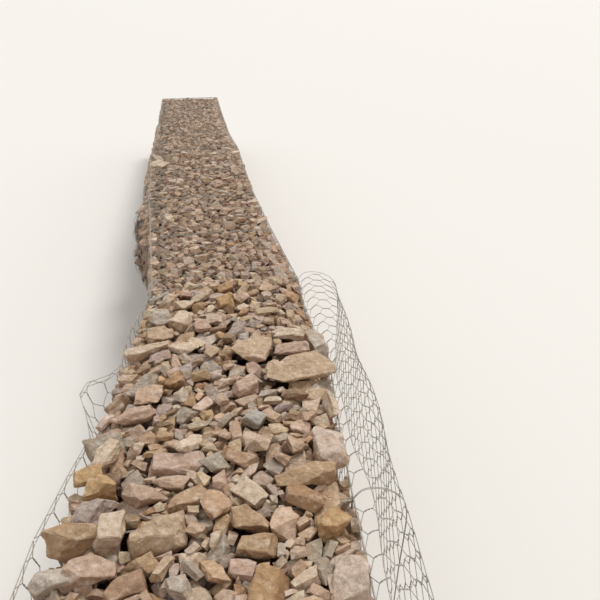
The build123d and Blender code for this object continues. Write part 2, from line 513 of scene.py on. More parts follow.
def turning(tilt):
    """A random turn about the vertical, and a random tilt of about that many radians."""
    angle = rng.uniform(0, 2 * pi)
    lean = rng.normal(0, tilt)
    around = rng.uniform(0, 2 * pi)
    axis = (cos(around), sin(around))
    cross = np.array([[0, 0, axis[1]], [0, 0, -axis[0]], [-axis[1], axis[0], 0]])
    tip = np.eye(3) + sin(lean) * cross + (1 - cos(lean)) * cross @ cross
    return tip @ spin(angle)


# How a stone's place is sought: the spots and turns tried, the spots drawn for each one tried, the
# fewest cells that a stone covers, what standing over the target costs against a hollow below, and how
# far under the target it stops mattering
SPOTS = 6
TURNS = 3
DRAWS_PER_SPOT = 4
FEWEST_CELLS = 6
STANDING_OUT_COSTS = 0.5
DEEP_ENOUGH = -0.03

# A stone that shows on fewer cells than this isn't drawn
SEEN_CELLS = 3


class Heap:
    """Stones laid one by one on a rectangle of a side, each where it lies lowest and fits best."""

    def __init__(self, side, a_span, b_span, target, depth):
        self.side = side
        self.corner = np.array([a_span[0], b_span[0]])
        shape = [int(round((span[1] - span[0]) / CELL)) + 1 for span in (a_span, b_span)]
        a = a_span[0] + CELL * np.arange(shape[0])
        b = b_span[0] + CELL * np.arange(shape[1])
        self.target = target(a[:, None], b[None, :]) * np.ones(shape)
        self.height = self.target - depth
        self.owner = np.full(shape, -1)
        self.stones = []

    def lay(self, stone, size, view, i, j, rest, colour):
        """Puts a stone down with its lowest grid corner at (i, j)."""
        low, _, upper, mask, turned = view
        window = self.height[i:i + mask.shape[0], j:j + mask.shape[1]]
        owner = self.owner[i:i + mask.shape[0], j:j + mask.shape[1]]
        new = mask & (rest + upper > window)
        window[new] = (rest + upper)[new]
        owner[new] = len(self.stones)
        middle = self.corner + CELL * (np.array([i, j]) - low)
        self.stones.append((stone, size, turned, np.array([*middle, rest]), colour))

    def try_stone(self, stone, size, tilt, over, sink, span, flatness, colour):
        """Lays one stone if it fits somewhere under the target, and says whether it did."""
        best = None
        turned = [turning(tilt) for _ in range(TURNS)]
        views = [stone.heights(turn, size) + (turn,) for turn in turned]
        rows, columns = self.height.shape
        draws = SPOTS * DRAWS_PER_SPOT
        picks_i = rng.integers(0, rows, draws)
        picks_j = rng.integers(int(span[0] * columns), int(span[1] * columns), draws)
        lacking = self.target[picks_i, picks_j] - self.height[picks_i, picks_j]
        for pick in np.argsort(-lacking)[:SPOTS]:
            for view in views:
                low, lower, upper, mask, _ = view
                span_i, span_j = mask.shape
                if span_i >= rows or span_j >= columns:
                    continue
                i = min(max(picks_i[pick] + low[0], 0), rows - span_i)
                j = min(max(picks_j[pick] + low[1], 0), columns - span_j)
                gaps = (self.height[i:i + span_i, j:j + span_j] - lower)[mask]
                if gaps.size < FEWEST_CELLS:
                    continue
                rank = int(sink * (gaps.size - 1))
                rest = np.partition(gaps, rank)[rank]
                limit = self.target[i:i + span_i, j:j + span_j]
                above = (rest + upper - limit)[mask].max()
                if above > over:
                    continue
                hollow = (rest - gaps).clip(0).mean()
                cost = hollow + STANDING_OUT_COSTS * max(above, DEEP_ENOUGH)
                cost = cost + flatness * upper[mask].std()
                if best is None or cost < best[0]:
                    best = (cost, view, i, j, rest)
        if best is None:
            return False
        self.lay(stone, size, *best[1:], colour)
        return True

    def fill(self, shapes, size, tilt, over, sink, misses, span=(0, 1), flatness=0.3, colour=None):
        """Lays stones of random sizes until that many in a row find no place.

        size is the median, the spread, the least and the most. over is the least and the most that a
        stone may stand over the heap's target, sink the share of its underside that doesn't sink in,
        span the part of the heap's second direction to fill, and flatness what lying unevenly costs.
        """
        median, spread, least, most = size
        stones = SHAPES[shapes]
        missed = 0
        while missed < misses:
            stone = stones[rng.integers(len(stones))]
            highest = rng.uniform(*over)
            drawn = float(np.clip(median * np.exp(rng.normal(0, spread)), least, most))
            laid = self.try_stone(stone, drawn, tilt, highest, sink, span, flatness, colour)
            missed = 0 if laid else missed + 1

    def set_down(self, stone, turn, lean, middle, top, colour):
        """Lays one stone at a given spot, its highest point at top over the rim."""
        tip = np.array([[1, 0, 0], [0, cos(lean), -sin(lean)], [0, sin(lean), cos(lean)]])
        turned = spin(turn) @ tip
        view = (*stone.heights(turned, 1.0), turned)
        low, _, upper, mask, _ = view
        i, j = np.round((np.array(middle) - self.corner) / CELL).astype(int) + low
        i = int(np.clip(i, 0, self.height.shape[0] - mask.shape[0]))
        j = int(np.clip(j, 0, self.height.shape[1] - mask.shape[1]))
        self.lay(stone, 1.0, view, i, j, top - upper[mask].max(), colour)

    def seen(self):
        """The stones that show from outside."""
        counts = np.bincount(self.owner[self.owner >= 0], minlength=len(self.stones))
        return [stone for stone, count in zip(self.stones, counts) if count >= SEEN_CELLS]

    def cover(self, level=0.0):
        """The surface of a taut sheet laid over the stones and held at its edges."""
        stones = np.maximum(self.height, level)
        stones[[0, -1], :] = level
        stones[:, [0, -1]] = level
        sheet = stones.copy()
        for _ in range(COVER_PASSES):
            middle = sheet[1:-1, 1:-1]
            around = sheet[:-2, 1:-1] + sheet[2:, 1:-1] + sheet[1:-1, :-2] + sheet[1:-1, 2:]
            sheet[1:-1, 1:-1] = np.maximum(stones[1:-1, 1:-1], 0.2 * (around + middle))
        return sheet

    def sample(self, sheet, a, b):
        """A sheet's height at points of the side."""
        return between(sheet, (a - self.corner[0]) / CELL, (b - self.corner[1]) / CELL)


# The stones' colours and how common each is
STONE_COLOURS = {
    "beige": ((0.86, 0.77, 0.67), 26),
    "pinkish beige": ((0.86, 0.76, 0.69), 18),
    "cream": ((0.93, 0.86, 0.78), 20),
    "tan": ((0.81, 0.7, 0.58), 13),
    "orange brown": ((0.79, 0.65, 0.51), 5),
    "warm grey": ((0.77, 0.73, 0.68), 12),
    "lilac grey": ((0.77, 0.72, 0.7), 4),
    "brown": ((0.66, 0.56, 0.46), 4),
    "ochre": ((0.84, 0.71, 0.54), 2),
    "pale pink": ((0.9, 0.83, 0.78), 4),
    "pale grey": ((0.84, 0.8, 0.76), 4),
    "blue grey": ((0.76, 0.75, 0.73), 2),
}
DUST = (0.76, 0.66, 0.60)
# painted shade: a darker brown for the bed stones, which show only deep in the gaps
GAP_SHADE = (0.68, 0.53, 0.40)
# painted shade: a dark brown for the big stones inside, which show only through the gaps
CORE_SHADE = (0.42, 0.33, 0.25)
PALE_STONE = (0.88, 0.82, 0.75)
GAMMA = 2.2

# How far a stone's lightness and its hue stray, and the limits of its colour
LIGHTNESS_STRAY = 0.06
HUE_STRAY = 0.008
COLOUR_RANGE = (0.05, 0.95)

# How much the stone is dusted and how light it is, in the open bays and under the closed lids
OPEN_LOOK = (0.2, 0.955)
CLOSED_LOOK = (0.45, 1.025)

# The bank side's painted shade: how dark it is, and between which distances along the wall it sets in
BANK_SHADE = 0.5
BANK_SHADE_FROM, BANK_SHADE_TO = -3.6, -1.0


def tints(count, dust):
    """A linear colour for each of count stones, greyed towards dust."""
    colours, weights = map(np.array, zip(*STONE_COLOURS.values()))
    picks = rng.choice(len(colours), count, p=weights / weights.sum())
    rgb = colours[picks] * rng.normal(1, LIGHTNESS_STRAY, (count, 1))
    rgb = rgb + rng.normal(0, HUE_STRAY, (count, 3))
    rgb = rgb * (1 - dust) + np.array(DUST) * dust
    return np.clip(rgb, *COLOUR_RANGE) ** GAMMA


def stone_mesh(stones, dust, shade):
    """Points, triangles and colours of laid stones, each given with its side of the wall."""
    points, triangles, colours = [], [], []
    total = 0
    for (side, laid), colour in zip(stones, tints(len(stones), dust)):
        stone, size, turned, middle, own = laid
        if own is not None:
            colour = np.array(own) ** GAMMA
        colour = colour * shade ** GAMMA
        # painted shade: the bank side's stones darken further along the wall
        if side is BANK:
            bank_shade = smooth_step((-middle[0] - BANK_SHADE_FROM) / (BANK_SHADE_TO - BANK_SHADE_FROM))
            colour = colour * (1 - (1 - BANK_SHADE) * bank_shade)
        local = stone.points @ turned.T * size + middle
        points.append(side.place(local))
        triangles.append(stone.triangles + total)
        colours.append(np.tile(colour, (len(local), 1)))
        total += len(local)
    return [np.concatenate(parts) for parts in (points, triangles, colours)]


# Laying the stone

# The kinds of stone: how many shapes of each, then their cuts, bevel, roughness, fineness and extent
STONE_KINDS = {
    "large": (14, 8, 0.03, 0.09, 0.3),
    "top": (36, 7, 0.02, 0.085, 0.55),
    "small": (24, 6, 0, 0.07, 0.7),
    "plain": (40, 5, 0, 0.03, 0),
    "even": (40, 5, 0, 0.04, 0, (1.2, 1.0, 0.85)),
}
LAID_KIND = (6, 0.035, 0.08, 0.25)
PALE_KIND = (6, 0.03, 0.06, 0.5)

SHAPES = {
    name: [Stone(*kind) for _ in range(count)]
    for name, (count, *kind) in STONE_KINDS.items()
}

# How the stones are laid, layer after layer, as Heap.fill takes it: from their kind to the misses, and
# for some layers also the span and the flatness
OPEN_BED = ("even", (0.085, 0.12, 0.07, 0.1), 0.8, (-0.14, -0.09), 0.92, 12)
OPEN_LAYERS = (
    ("large", (0.115, 0.12, 0.1, 0.14), 0.6, (-0.03, 0.02), 0.93, 2),
    ("top", (0.085, 0.15, 0.07, 0.11), 0.9, (-0.05, 0.02), 0.94, 30, (0, 0.58)),
    ("top", (0.07, 0.15, 0.055, 0.09), 1.0, (-0.05, 0.02), 0.94, 30, (0.55, 1)),
    ("small", (0.048, 0.15, 0.04, 0.06), 1.2, (-0.06, 0.0), 0.93, 25),
    ("plain", (0.033, 0.12, 0.028, 0.04), 1.4, (-0.07, -0.012), 0.92, 25),
)
CLOSED_LAYERS = (
    ("even", (0.062, 0.15, 0.05, 0.085), 1.6, (-0.035, 0.014), 0.96, 14, (0, 1), 0),
    ("even", (0.047, 0.12, 0.04, 0.055), 1.6, (-0.07, -0.01), 0.94, 10, (0, 1), 0),
)
SIDE_LAYERS = (
    ("plain", (0.13, 0.2, 0.09, 0.18), 0.4, (-0.01, 0.003), 0.88, 20),
    ("plain", (0.075, 0.2, 0.05, 0.1), 0.5, (-0.02, 0.002), 0.85, 40),
)

# How deep the heaps of stone are, and from where to where the top, the sides and the ends have stone
OPEN_DEPTH = 0.2
CLOSED_DEPTH = 0.17
SIDE_DEPTH = 0.13
TOP_SPAN = (-HALF_WIDTH - RIM_OVER, HALF_WIDTH + RIM_OVER)
SIDE_SPAN = (0.02, RIM_Z + 0.01)
END_SPAN = (END_INSET - HALF_WIDTH, HALF_WIDTH - END_INSET)

# Stones laid one by one: where across and along the wall, its extent, how it is turned, how it leans
# and how high its top is over the rim, then its colour
LAID_STONES = (
    (0.38, -3.21, (0.13, 0.1, 0.12), 0.2, 0.2, 0.01, "tan"),
    (0.5, -3.23, (0.12, 0.1, 0.12), 0.9, 0.3, 0.01, "warm grey"),
    (0.44, -3.3, (0.11, 0.09, 0.1), -0.4, 0.2, 0.015, "beige"),
    (0.455, -3.12, (0.31, 0.2, 0.07), 0.1, 0.05, 0.085, "beige"),
    (0.5, -2.9, (0.07, 0.22, 0.12), 0.1, 0.2, 0.08, "pale grey"),
    (0.15, -2.88, (0.2, 0.2, 0.09), -0.2, 0.05, 0.07, "beige"),
    (0.36, -2.77, (0.18, 0.07, 0.07), -0.4, 0.2, 0.075, "cream"),
    (0.35, -2.91, (0.17, 0.08, 0.08), -0.25, 0.2, 0.07, "pinkish beige"),
    (-0.37, -2.21, (0.12, 0.12, 0.1), 0.3, 0.4, 0.065, "cream"),
    (-0.26, -2.28, (0.12, 0.09, 0.1), 0.8, 0.4, 0.07, "cream"),
    (-0.38, -2.42, (0.15, 0.12, 0.12), 0.2, 0.3, 0.065, "pale grey"),
    (-0.25, -2.49, (0.14, 0.13, 0.12), 1, 0.3, 0.07, "cream"),
    (-0.36, -2.63, (0.15, 0.1, 0.1), 0.1, 0.2, 0.065, "beige"),
    (-0.4, -2.77, (0.22, 0.1, 0.1), 0.1, 0.3, 0.06, "cream"),
    (-0.01, -2.11, (0.1, 0.08, 0.09), 0.4, 0.3, 0.07, "orange brown"),
    (0, -2.29, (0.12, 0.1, 0.1), 0.2, 0.3, 0.075, "ochre"),
    (-0.37, -3.12, (0.12, 0.15, 0.12), -0.2, 0.3, 0.07, "warm grey"),
    (-0.23, -3.1, (0.09, 0.09, 0.08), 0.5, 0.3, 0.07, "orange brown"),
    (-0.37, -3.34, (0.17, 0.08, 0.08), 0.1, 0.2, 0.06, "pinkish beige"),
    (0.12, -3.22, (0.13, 0.1, 0.09), 0.6, 0.3, 0.075, "pinkish beige"),
    (0.16, -3.47, (0.1, 0.09, 0.09), 0.9, 0.4, 0.07, "blue grey"),
    (0.48, -3.41, (0.07, 0.2, 0.09), 0, 0.2, 0.06, "cream"),
    (0.45, -3.72, (0.14, 0.22, 0.12), 0.15, -0.1, 0.07, "pale pink"),
    (0.35, -3.87, (0.25, 0.1, 0.08), 0.2, 0.1, 0.06, "tan"),
    (0.4, -4.11, (0.11, 0.11, 0.11), 0.7, 0.3, 0.07, "ochre"),
    (0.13, -4.05, (0.15, 0.1, 0.09), -0.1, 0.3, 0.07, "tan"),
    (0.15, -4.17, (0.16, 0.08, 0.09), -0.2, 0.2, 0.065, "tan"),
    (0.47, -4.37, (0.12, 0.2, 0.12), -0.2, 0.1, 0.07, "pale pink"),
    (-0.555, -3.7, (0.09, 0.08, 0.08), 0.3, 0.2, 0.05, "ochre"),
    (-0.405, -3.77, (0.1, 0.11, 0.1), 0.1, 0.3, 0.06, "ochre"),
    (-0.41, -3.91, (0.09, 0.13, 0.1), -0.2, 0.2, 0.06, "lilac grey"),
    (-0.47, -4.01, (0.14, 0.12, 0.15), 0.4, 0.3, 0.075, "tan"),
    (-0.34, -4.02, (0.09, 0.14, 0.13), 0.1, 0.2, 0.075, "cream"),
    (-0.24, -4.16, (0.1, 0.08, 0.1), 0.6, 0.4, 0.03, "tan"),
    (-0.19, -4.06, (0.19, 0.11, 0.15), 0.25, 0.15, 0.07, "beige"),
    (-0.37, -4.17, (0.15, 0.09, 0.08), 0, 0.1, 0.06, "pinkish beige"),
    (-0.52, -4.17, (0.12, 0.08, 0.09), 0.1, 0.2, 0.045, "pale grey"),
    (-0.11, -4.29, (0.07, 0.1, 0.08), 0.3, 0.3, 0.065, "pale grey"),
    (-0.43, -3.6, (0.08, 0.16, 0.1), -0.3, 0.2, 0.06, "cream"),
    (-0.52, -3.52, (0.13, 0.11, 0.1), 0.3, 0.2, 0.045, "warm grey"),
)

# Pale stones under the closed lids: where across and along the wall, and their size
PALE_STONES = (
    (-0.5, 1.33, 0.2), (-0.41, 1.62, 0.12), (-0.3, 1.7, 0.13), (-0.14, 1.75, 0.1), (0.36, 1.9, 0.13),
    (0.45, 1.7, 0.1), (0.46, -0.23, 0.12), (-0.13, -1.48, 0.1), (-0.34, -0.57, 0.13),
    (0.48, -0.75, 0.11),
)
PALE_TOP = 0.022
PALE_LEAN = 0.2

# Big stones inside the baskets: their size, their places across and up as (first, last, count), how
# far from a bay's ends and how many along it, and how far each is off its place
CORE_SIZE = 0.25
CORE_ACROSS = (-0.25, 0.25, 3)
CORE_UP = (0.27, 0.77, 3)
CORE_END_GAP = 0.22
CORE_ALONG = 8
CORE_STRAY = 0.01


def heap_target(a, b):
    """How high the open baskets are heaped, over their rim."""
    edge = 1 - (np.abs(a) / HALF_WIDTH) ** 4
    hump = 0.75 + 0.25 * np.sin(3.1 * b + 1.0) * np.sin(4.3 * a + 0.4)
    return HEAP_RISE * hump * edge.clip(0) - 0.006 * (1 - edge)


def closed_target(a, b):
    """How high the stone stands under the closed lids."""
    edge = 1 - (np.abs(a) / HALF_WIDTH) ** 4
    return CLOSED_RISE * (0.55 + 0.45 * cell_share(b)) * edge.clip(0)


def side_target(a, b):
    """How far a side's stone stands out past the panel's edge wires."""
    share = BULGE_LEFT_AT_END + (1 - BULGE_LEFT_AT_END) * cell_share(a)
    belly = smooth_step((b - 0.01) / BELLY_RUN) * smooth_step((RIM_Z - b) / BELLY_RUN)
    shoulder = smooth_step((b - RIM_Z + SHOULDER) / SHOULDER)
    return SIDE_BULGE * share * belly - 0.004 - SIDE_SHOULDER_IN * shoulder


def end_target(a, b):
    """How far an end's stone stands out past its edge wires."""
    shoulder = smooth_step((b - RIM_Z + SHOULDER) / SHOULDER)
    return 0 * a - 0.006 - END_SHOULDER_IN * shoulder


def lay_side(side, a_span, target):
    """The stone that shows in a side or an end."""
    heap = Heap(side, a_span, SIDE_SPAN, target, SIDE_DEPTH)
    for layer in SIDE_LAYERS:
        heap.fill(*layer)
    return heap


# The stone in the open baskets, heaped by hand
open_top = Heap(TOP, TOP_SPAN, (NEAR_Y, OPEN_END_Y), heap_target, OPEN_DEPTH)
# the bed stones get the painted gap shade
open_top.fill(*OPEN_BED, colour=GAP_SHADE)
for across, along, extent, turn, lean, top, colour in LAID_STONES:
    stone = Stone(*LAID_KIND, extent)
    open_top.set_down(stone, turn, lean, (across, along), top, STONE_COLOURS[colour][0])
for layer in OPEN_LAYERS:
    open_top.fill(*layer)

# The stone under the closed lids, trodden nearly level
closed_top = Heap(TOP, TOP_SPAN, (OPEN_END_Y - SEAM_OVER, FAR_Y), closed_target, CLOSED_DEPTH)
for across, along, size in PALE_STONES:
    stone = Stone(*PALE_KIND, (size, 0.8 * size, 0.7 * size))
    turn = rng.uniform(0, 3)
    closed_top.set_down(stone, turn, PALE_LEAN, (across, along), PALE_TOP, PALE_STONE)
for layer in CLOSED_LAYERS:
    closed_top.fill(*layer)

# The stone in the sides and the ends
river_side = lay_side(RIVER, (NEAR_Y, FAR_Y), side_target)
bank_side = lay_side(BANK, (-FAR_Y, -NEAR_Y), side_target)
near_end = lay_side(NEAR_END, END_SPAN, end_target)
far_end = lay_side(FAR_END, END_SPAN, end_target)


def core_stones(bay):
    """Big stones that fill a bay's middle, so that nothing shows through between the others."""
    near, far = ends_of(bay)
    stones = []
    for x in np.linspace(*CORE_ACROSS):
        for y in np.linspace(near + CORE_END_GAP, far - CORE_END_GAP, CORE_ALONG):
            for z in np.linspace(*CORE_UP):
                stone = SHAPES["even"][rng.integers(len(SHAPES["even"]))]
                middle = np.array([x, y, z]) + rng.normal(0, CORE_STRAY, 3)
                # the big stones inside get the painted core shade
                stones.append((WALL, (stone, CORE_SIZE, turning(1.0), middle, CORE_SHADE)))
    return stones


def stone_piece(bay):
    """A bay's stone: what each heap has in the bay, and the big stones in its middle."""
    stones = [
        (heap.side, laid)
        for heap in (open_top, closed_top, river_side, bank_side, near_end, far_end)
        for laid in heap.seen()
        if bay_at(heap.side.place(laid[3])[1]) == bay
    ]
    look = OPEN_LOOK if bay <= OPEN_BAYS else CLOSED_LOOK
    piece = make_mesh(f"stones_{bay}", *stone_mesh(stones + core_stones(bay), *look))
    piece.data.materials.append(STONE_MATERIAL)
    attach(piece, "root")
    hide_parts(f"stone_fill_{bay}")


for bay in range(1, BAYS + 1):
    stone_piece(bay)

# Woven wire

# How far above a surface the point lies that tells a wire which way is out
OUTWARD = 0.01


class Wires:
    """Lengths of wire that are gathered into one mesh."""

    def __init__(self):
        self.points = []
        self.triangles = []
        self.total = 0

    def add(self, paths, normals, radius, sides):
        """Tubes along paths, an array of (wire, point, xyz), with a normal for each point."""
        tangents = np.gradient(paths, axis=1)
        across = np.cross(tangents, normals)
        across /= np.linalg.norm(across, axis=2, keepdims=True) + 1e-12
        out = np.cross(across, tangents)
        out /= np.linalg.norm(out, axis=2, keepdims=True) + 1e-12
        angles = 2 * pi * np.arange(sides) / sides
        ring = np.cos(angles)[:, None] * across[:, :, None] + np.sin(angles)[:, None] * out[:, :, None]
        points = paths[:, :, None] + radius * ring
        wires, count = paths.shape[:2]
        first = np.arange(wires)[:, None, None] * count * sides
        step = first + np.arange(count - 1)[None, :, None] * sides
        here = step + np.arange(sides)
        beside = step + (np.arange(sides) + 1) % sides
        quads = np.stack([here, beside, beside + sides, here + sides], axis=-1).reshape(-1, 4)
        triangles = np.concatenate([quads[:, [0, 1, 2]], quads[:, [0, 2, 3]]])
        self.points.append(points.reshape(-1, 3))
        self.triangles.append(triangles + self.total)
        self.total += wires * count * sides

    def follow(self, surface, u, v, radius, sides, lift=0.0):
        """Tubes along lines of a surface. surface(u, v, lift) gives points of the wall."""
        paths = surface(u, v, lift)
        self.add(paths, surface(u, v, lift + OUTWARD) - paths, radius, sides)

    def line(self, ends, seed):
        """One nearly straight edge wire between two points of the wall."""
        start, end = np.array(ends, float)
        length = np.linalg.norm(end - start)
        share = np.linspace(0, 1, max(3, int(length / LINE_STEP) + 1))[:, None]
        local = start + share * (end - start)
        along = share[:, 0] * length
        for column, waves, phase in ((0, 9.1, seed), (2, 7.7, 2 * seed)):
            local[:, column] += LINE_WANDER * np.sin(along * waves + phase) * np.sin(pi * share[:, 0])
        path = WALL.place(local)
        x, y, z = np.abs(path[-1] - path[0])
        axis = (1, 0, 0) if z > max(x, y) else (0, 0, 1)
        self.add(path[None], np.broadcast_to(axis, path.shape)[None], HALF_EDGE, EDGE_SIDES)

    def ring(self, corners, seed):
        """Edge wires from corner to corner of the wall, and back to the first."""
        for ends in zip(corners, corners[1:] + corners[:1]):
            self.line(ends, seed)

    def lace(self, ends, seed, sides=4, steps=7):
        """A spiral of lacing wire along an edge between two points of the wall."""
        start, end = np.array(ends, float)
        length = np.linalg.norm(end - start)
        turns = max(1, round(length / LACING_PITCH))
        share = np.linspace(0, 1, turns * steps + 1)
        angle = 2 * pi * turns * share + 0.5 * np.sin(share * 9 + seed)
        direction = (end - start) / length
        first = np.cross(direction, (0.3, 0.5, 0.81))
        first /= np.linalg.norm(first)
        second = np.cross(direction, first)
        radius = LACING_RADIUS * (1 + 0.25 * np.sin(share * turns * 2.1 + seed))
        local = start + share[:, None] * (end - start)
        local += (radius * np.cos(angle))[:, None] * first + (radius * np.sin(angle))[:, None] * second
        path = WALL.place(local)
        normals = np.broadcast_to(direction + 0.01, path.shape)
        self.add(path[None], normals[None], LACING_WIRE / 2, sides)

    def weave(self, surface, u_span, v_span, seed, fineness):
        """Twisted mesh over a surface: u runs across the twists and v along them."""
        twist_steps, slant_steps, sides = fineness

        def wire(u, v, lift=0.0):
            """Mesh wire along lines of the surface, which wobbles a little inside the spans."""
            inside = np.minimum(u - u_span[0], u_span[1] - u) * np.minimum(v - v_span[0], v_span[1] - v)
            wobble = WEAVE_WOBBLE * np.clip(inside / WOBBLE_HELD, 0, 1)
            du = wobble * ripple(u, v, seed, WOBBLE_SCALE)
            dv = wobble * ripple(v, u, seed + 1, WOBBLE_SCALE)
            self.follow(surface, u + du, v + dv, STRAND, sides, lift)

        rows = max(1, round((v_span[1] - v_span[0] - SLANT_RISE) / ROW_PITCH))
        pitch = (v_span[1] - v_span[0] - SLANT_RISE) / rows
        twist = pitch - SLANT_RISE
        across = MESH_OPENING / 2 - 2 * STRAND
        columns = int((u_span[1] - u_span[0]) / MESH_OPENING) + 2
        row, column = np.indices((rows, columns))
        u_first = u_span[0] + (column + row % 2 / 2) * MESH_OPENING
        v_first = v_span[0] + SLANT_RISE + row * pitch
        kept = (u_first > u_span[0] + TWIST_MARGIN) & (u_first < u_span[1] - TWIST_MARGIN)
        row, u_first, v_first = row[kept], u_first[kept][:, None], v_first[kept][:, None]
        u_lowest, v_lowest = u_first[row == 0], v_first[row == 0]
        share = np.linspace(0, 1, twist_steps + 1)
        slant = np.linspace(0, 1, slant_steps + 1)[1:]
        back = np.linspace(1, 0, slant_steps + 1)
        for way in (-1, 1):
            angle = pi * HALF_TURNS * share
            u_twist = u_first - way * STRAND * np.cos(angle)
            v_twist = v_first + twist * share
            lift_twist = np.broadcast_to(way * STRAND * np.sin(angle), u_twist.shape)
            u_start = u_first + way * STRAND
            u_end = u_start + way * across
            edge = u_span[1] if way > 0 else u_span[0]
            reach = np.clip((edge - u_start) / (u_end - u_start), 0, 1)
            u_slant = u_start + (u_end - u_start) * slant * reach
            v_slant = v_first + twist + SLANT_RISE * slant * reach
            u = np.concatenate([u_twist, u_slant], axis=1)
            v = np.concatenate([v_twist, v_slant], axis=1)
            lift = np.concatenate([lift_twist, np.zeros_like(u_slant)], axis=1)
            wire(u, v, lift)
            u = u_lowest - way * STRAND - way * across * back
            u = np.clip(u, *u_span)
            v = v_lowest - SLANT_RISE * back
            wire(u, v)

    def piece(self, name, node):
        """The wires as one piece of the wall, in place of a CAD node."""
        points, triangles = np.concatenate(self.points), np.concatenate(self.triangles)
        piece = make_mesh(name, points, triangles, smooth=True)
        piece.data.materials.append(WIRE_MATERIAL)
        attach(piece, "root")
        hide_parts(node)


# How far below the rim the bank side's loose mesh begins to bulge, how far from its edges a closed lid
# is held down, and how far over the rim a closed lid lies where no stone lifts it
LOOSE_RUN = 0.3
LID_HELD_RUN = 0.05
LID_LEVEL = 0.002


def panel_surface(heap, level=0.0):
    """A panel's surface over its stone, at level where no stone lifts it.

    u runs along the wall, but across it on its two ends. v runs up, but across the lids.
    """
    sheet = heap.cover(level)
    along, out, up = np.array(BANK_RIM).T

    def surface(u, v, lift):
        a, b = (v, u) if heap.side is TOP else (u, v)
        if heap.side is BANK:
            a = -u
        rise = heap.sample(sheet, a, b)
        if heap.side is TOP:
            rise = rise * smooth_step((HALF_WIDTH - np.abs(a)) / LID_HELD_RUN)
        rise = rise + lift + MESH_WIRE
        if heap.side is BANK:
            loose = smooth_step((v - RIM_Z + LOOSE_RUN) / LOOSE_RUN)
            rise = rise + loose * np.interp(u, along, out)
            b = v + loose ** 2 * np.interp(u, along, up)
        return heap.side.place(np.stack([a, b, rise], axis=-1))

    return surface


def side_panel(bay, name, heap, surface):
    """A side's mesh, edge wires and lacing."""
    near, far = ends_of(bay)
    way = 1 if heap.side is RIVER else -1
    x = way * (HALF_WIDTH - HALF_EDGE)
    low, high = SIDE_FOOT, RIM_Z - HALF_EDGE
    span = (near + PANEL_END_GAP, far - PANEL_END_GAP)
    wires = Wires()
    fineness = MIDDLE if bay <= OPEN_BAYS else COARSE
    wires.weave(surface, span, (MESH_FOOT, RIM_Z - MESH_RIM_GAP), bay, fineness)
    wires.line(((x, near, low), (x, far, low)), bay)
    u = np.linspace(*span, 60)[None]
    for v in (high, high - SECOND_RIM_WIRE) if bay <= OPEN_BAYS else (high,):
        wires.follow(surface, u, np.full_like(u, v), HALF_EDGE, EDGE_SIDES)
    for y in (near + HALF_EDGE, far - HALF_EDGE):
        wires.line(((x, y, low), (x, y, high)), bay)
        wires.lace(((x, y, low), (x, y, high)), bay)
    middle = (near + far) / 2
    wires.lace(((x, middle, low), (x, middle, high)), bay + 0.5)
    lace_z = 2 * LACING_RADIUS
    wires.lace(((x, near, lace_z), (x, far, lace_z)), bay + 0.7)
    wires.piece(f"{name}_mesh_{bay}", f"{name}_panel_{bay}")


def level_panel(bay, name, node, z, surface=None):
    """A base's edge wires, or a closed lid's, with its mesh and lacing where it has a surface."""
    near, far = ends_of(bay)
    middle = (near + far) / 2
    wires = Wires()
    x = HALF_WIDTH - HALF_EDGE
    y_low, y_high = near + HALF_EDGE, far - HALF_EDGE
    wires.ring([(-x, y_low, z), (x, y_low, z), (x, y_high, z), (-x, y_high, z)], 0.3 + bay)
    wires.line(((-x, middle, z), (x, middle, z)), bay)
    if surface:
        wires.weave(surface, (near + PANEL_END_GAP, far - PANEL_END_GAP), (-x, x), bay + 20, MIDDLE)
        for y in (y_low, y_high, middle):
            wires.lace(((-x, y, z), (x, y, z)), bay)
        for rim in (-x, x):
            wires.lace(((rim, near, z), (rim, far, z)), bay + rim)
    wires.piece(name, node)


def cross_panel(bay, name, node, ys):
    """The edge wires of end panels or a diaphragm, and the mesh of the wall's two ends."""
    wires = Wires()
    x = HALF_WIDTH - 3 * HALF_EDGE
    low, high = CROSS_FOOT, RIM_Z - HALF_EDGE
    for y in ys:
        wires.ring([(-x, y, low), (x, y, low), (x, y, high), (-x, y, high)], y + bay)
        for heap in (near_end, far_end):
            if abs(heap.side.origin[1] - y) < EDGE_WIRE:
                surface = panel_surface(heap)
                wires.weave(surface, (-x, x), (MESH_FOOT, RIM_Z - MESH_RIM_GAP), bay + 40, MIDDLE)
    wires.piece(name, node)


def open_lid_surface(u_span):
    """An open lid's surface: u runs along the wall, and v along the mesh from its hinge."""
    us = np.linspace(*u_span, LID_GRID[0])
    vs = np.linspace(0, LID_REACH, LID_GRID[1])
    u, v = np.meshgrid(us, vs, indexing="ij")
    along, tilt = np.array(LID_LINE).T
    early = 0.008 * np.sin(2.3 * u + LID_SEED) + 0.005 * np.sin(6.1 * u + 2 * LID_SEED)
    wave = 4 * np.sin(3.7 * u + LID_SEED) + 3 * np.sin(8.3 * u + 9 * v + LID_SEED)
    wave = wave * (1 - 0.7 * smooth_step((v - 0.2) / 0.2))
    angles = np.radians(np.interp(v - early, along, tilt) + wave)
    xs = np.cumsum(np.cos(angles), axis=1) * vs[1]
    zs = np.cumsum(np.sin(angles), axis=1) * vs[1]

    def surface(u, v, lift):
        i, j = (u - us[0]) / (us[1] - us[0]), v / vs[1]
        angle, x, z = (between(grid, i, j) for grid in (angles, xs, zs))
        out = swell(RIVER_SWELL, u, RIM_Z) * (1 - smooth_step(v / 0.25))
        x = HALF_WIDTH - HALF_EDGE + out + x - lift * np.sin(angle)
        z = RIM_Z + HALF_EDGE + z + lift * np.cos(angle)
        return np.stack([x + line_x(u), u, z], axis=-1)

    return surface


